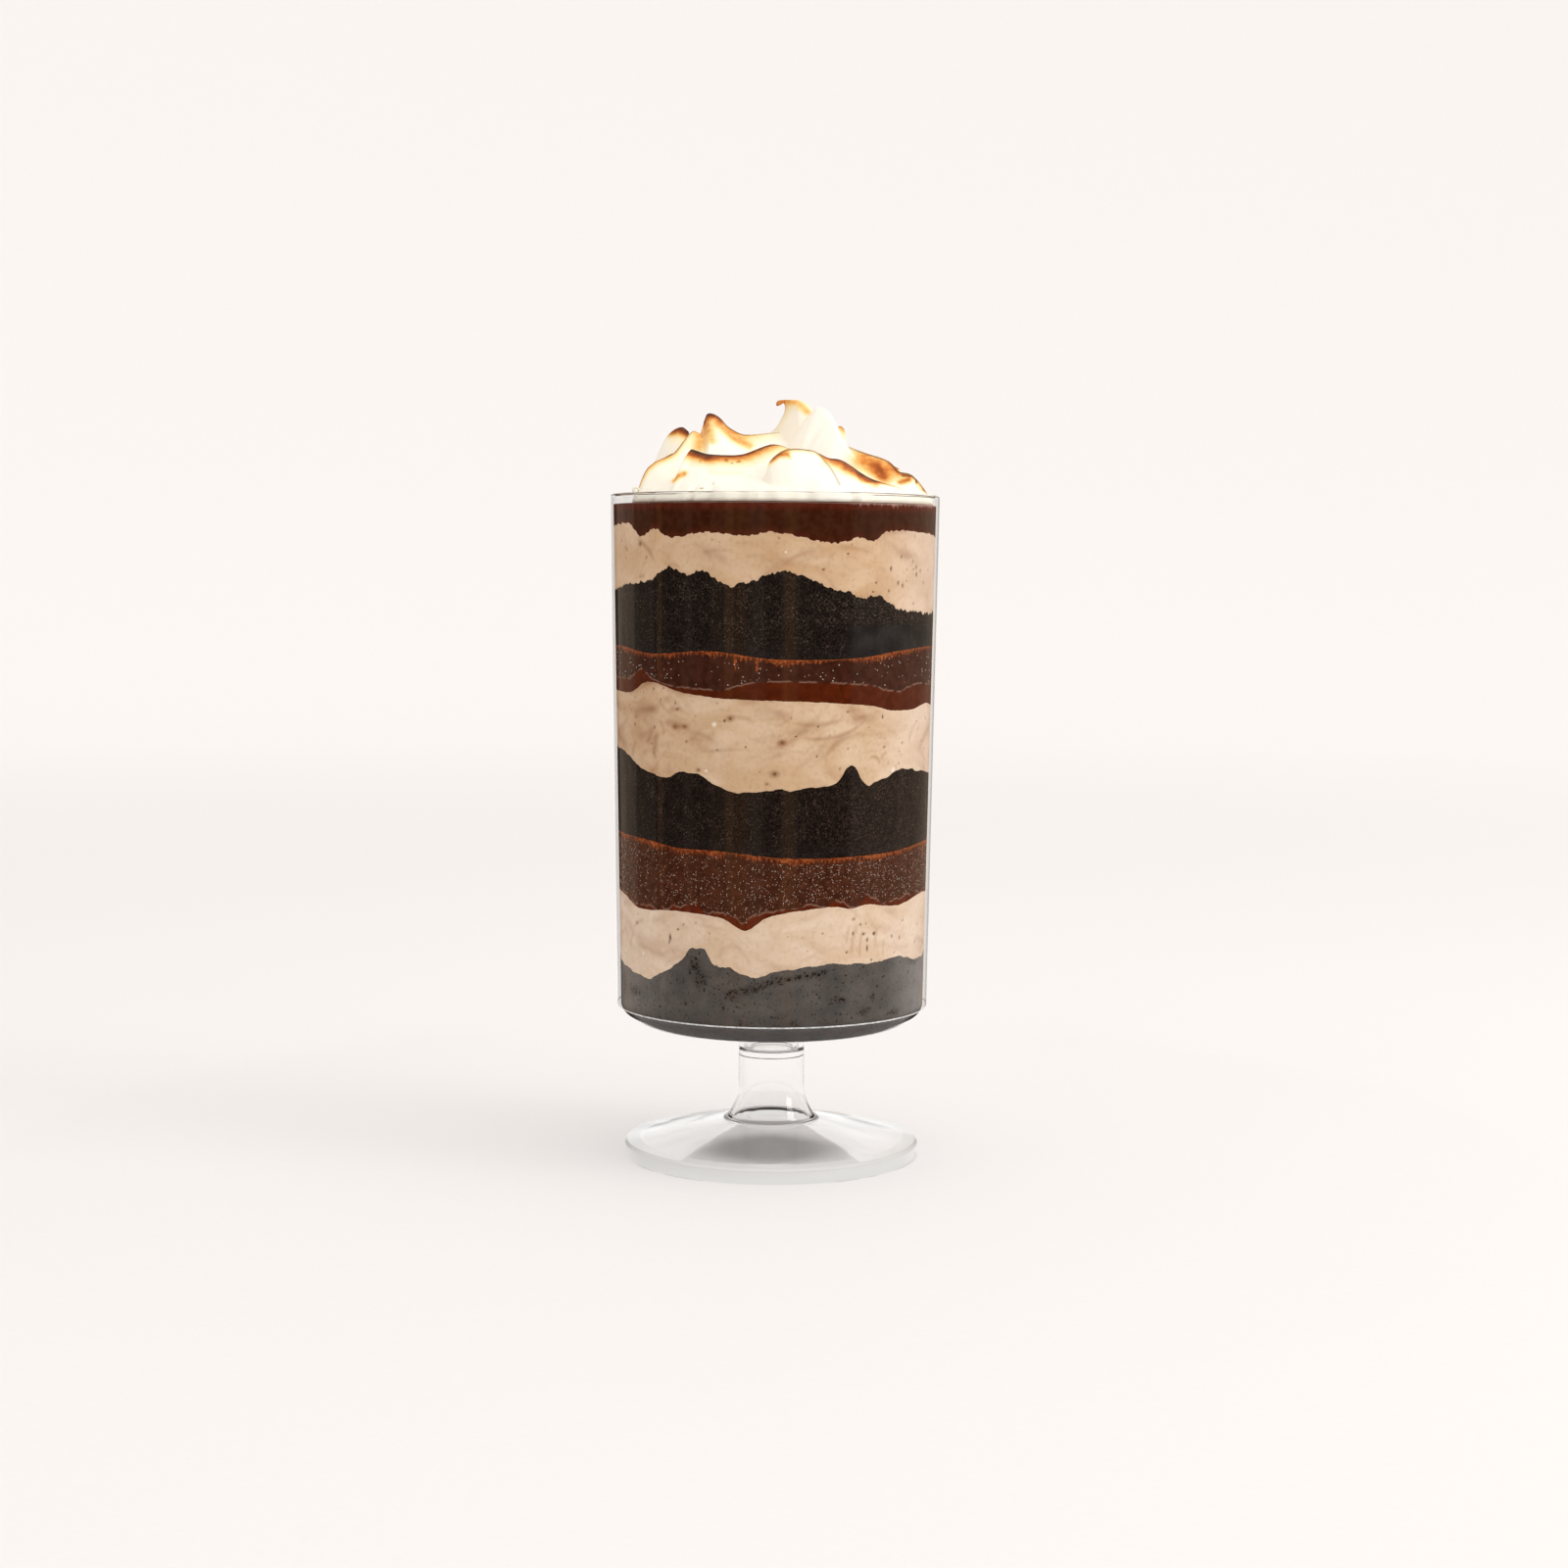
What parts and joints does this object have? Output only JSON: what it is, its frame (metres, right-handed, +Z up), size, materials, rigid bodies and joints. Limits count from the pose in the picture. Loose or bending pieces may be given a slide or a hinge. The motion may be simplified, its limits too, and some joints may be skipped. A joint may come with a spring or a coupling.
{
  "type": "trifle",
  "caption": "Tall footed clear cup filled with layers of dark cake, light mousse and pudding, under a swirled heap of toasted meringue.",
  "frame": {"origin": "centre of the foot's underside, on the surface it stands on", "axes": "+Z up along the cup's axis; -Y is the shown front; +X to the right of that front"},
  "size_m": [0.125, 0.125, 0.2895],
  "materials": {
    "cake_bottom": "dark moist chocolate crumb, pressed greyish against the wall",
    "mousse_bottom": "whipped chocolate cream, light brown with faint darker swirls",
    "pudding_bottom": "dark chocolate pudding full of tiny bubbles, with an orange-brown top edge",
    "cake_middle": "dark moist chocolate crumb",
    "mousse_middle": "whipped chocolate cream, light brown with faint darker swirls",
    "pudding_middle": "dark chocolate pudding with few bubbles, redder in its lower half",
    "cake_top": "dark moist chocolate crumb",
    "mousse_top": "whipped chocolate cream, light brown with small air pits",
    "pudding_top": "smooth dark chocolate pudding",
    "meringue": "soft white meringue, browned with a torch along its crests",
    "cup": "clear moulded polystyrene, glossy",
    "pedestal": "clear moulded polystyrene, glossy"
  },
  "bodies": {
    "root": {"cake_bottom": "cake_bottom", "mousse_bottom": "mousse_bottom", "pudding_bottom": "pudding_bottom", "cake_middle": "cake_middle", "mousse_middle": "mousse_middle", "pudding_middle": "pudding_middle", "cake_top": "cake_top", "mousse_top": "mousse_top", "pudding_top": "pudding_top", "meringue": "meringue", "cup": "cup", "pedestal": "pedestal"}
  },
  "joints": []
}
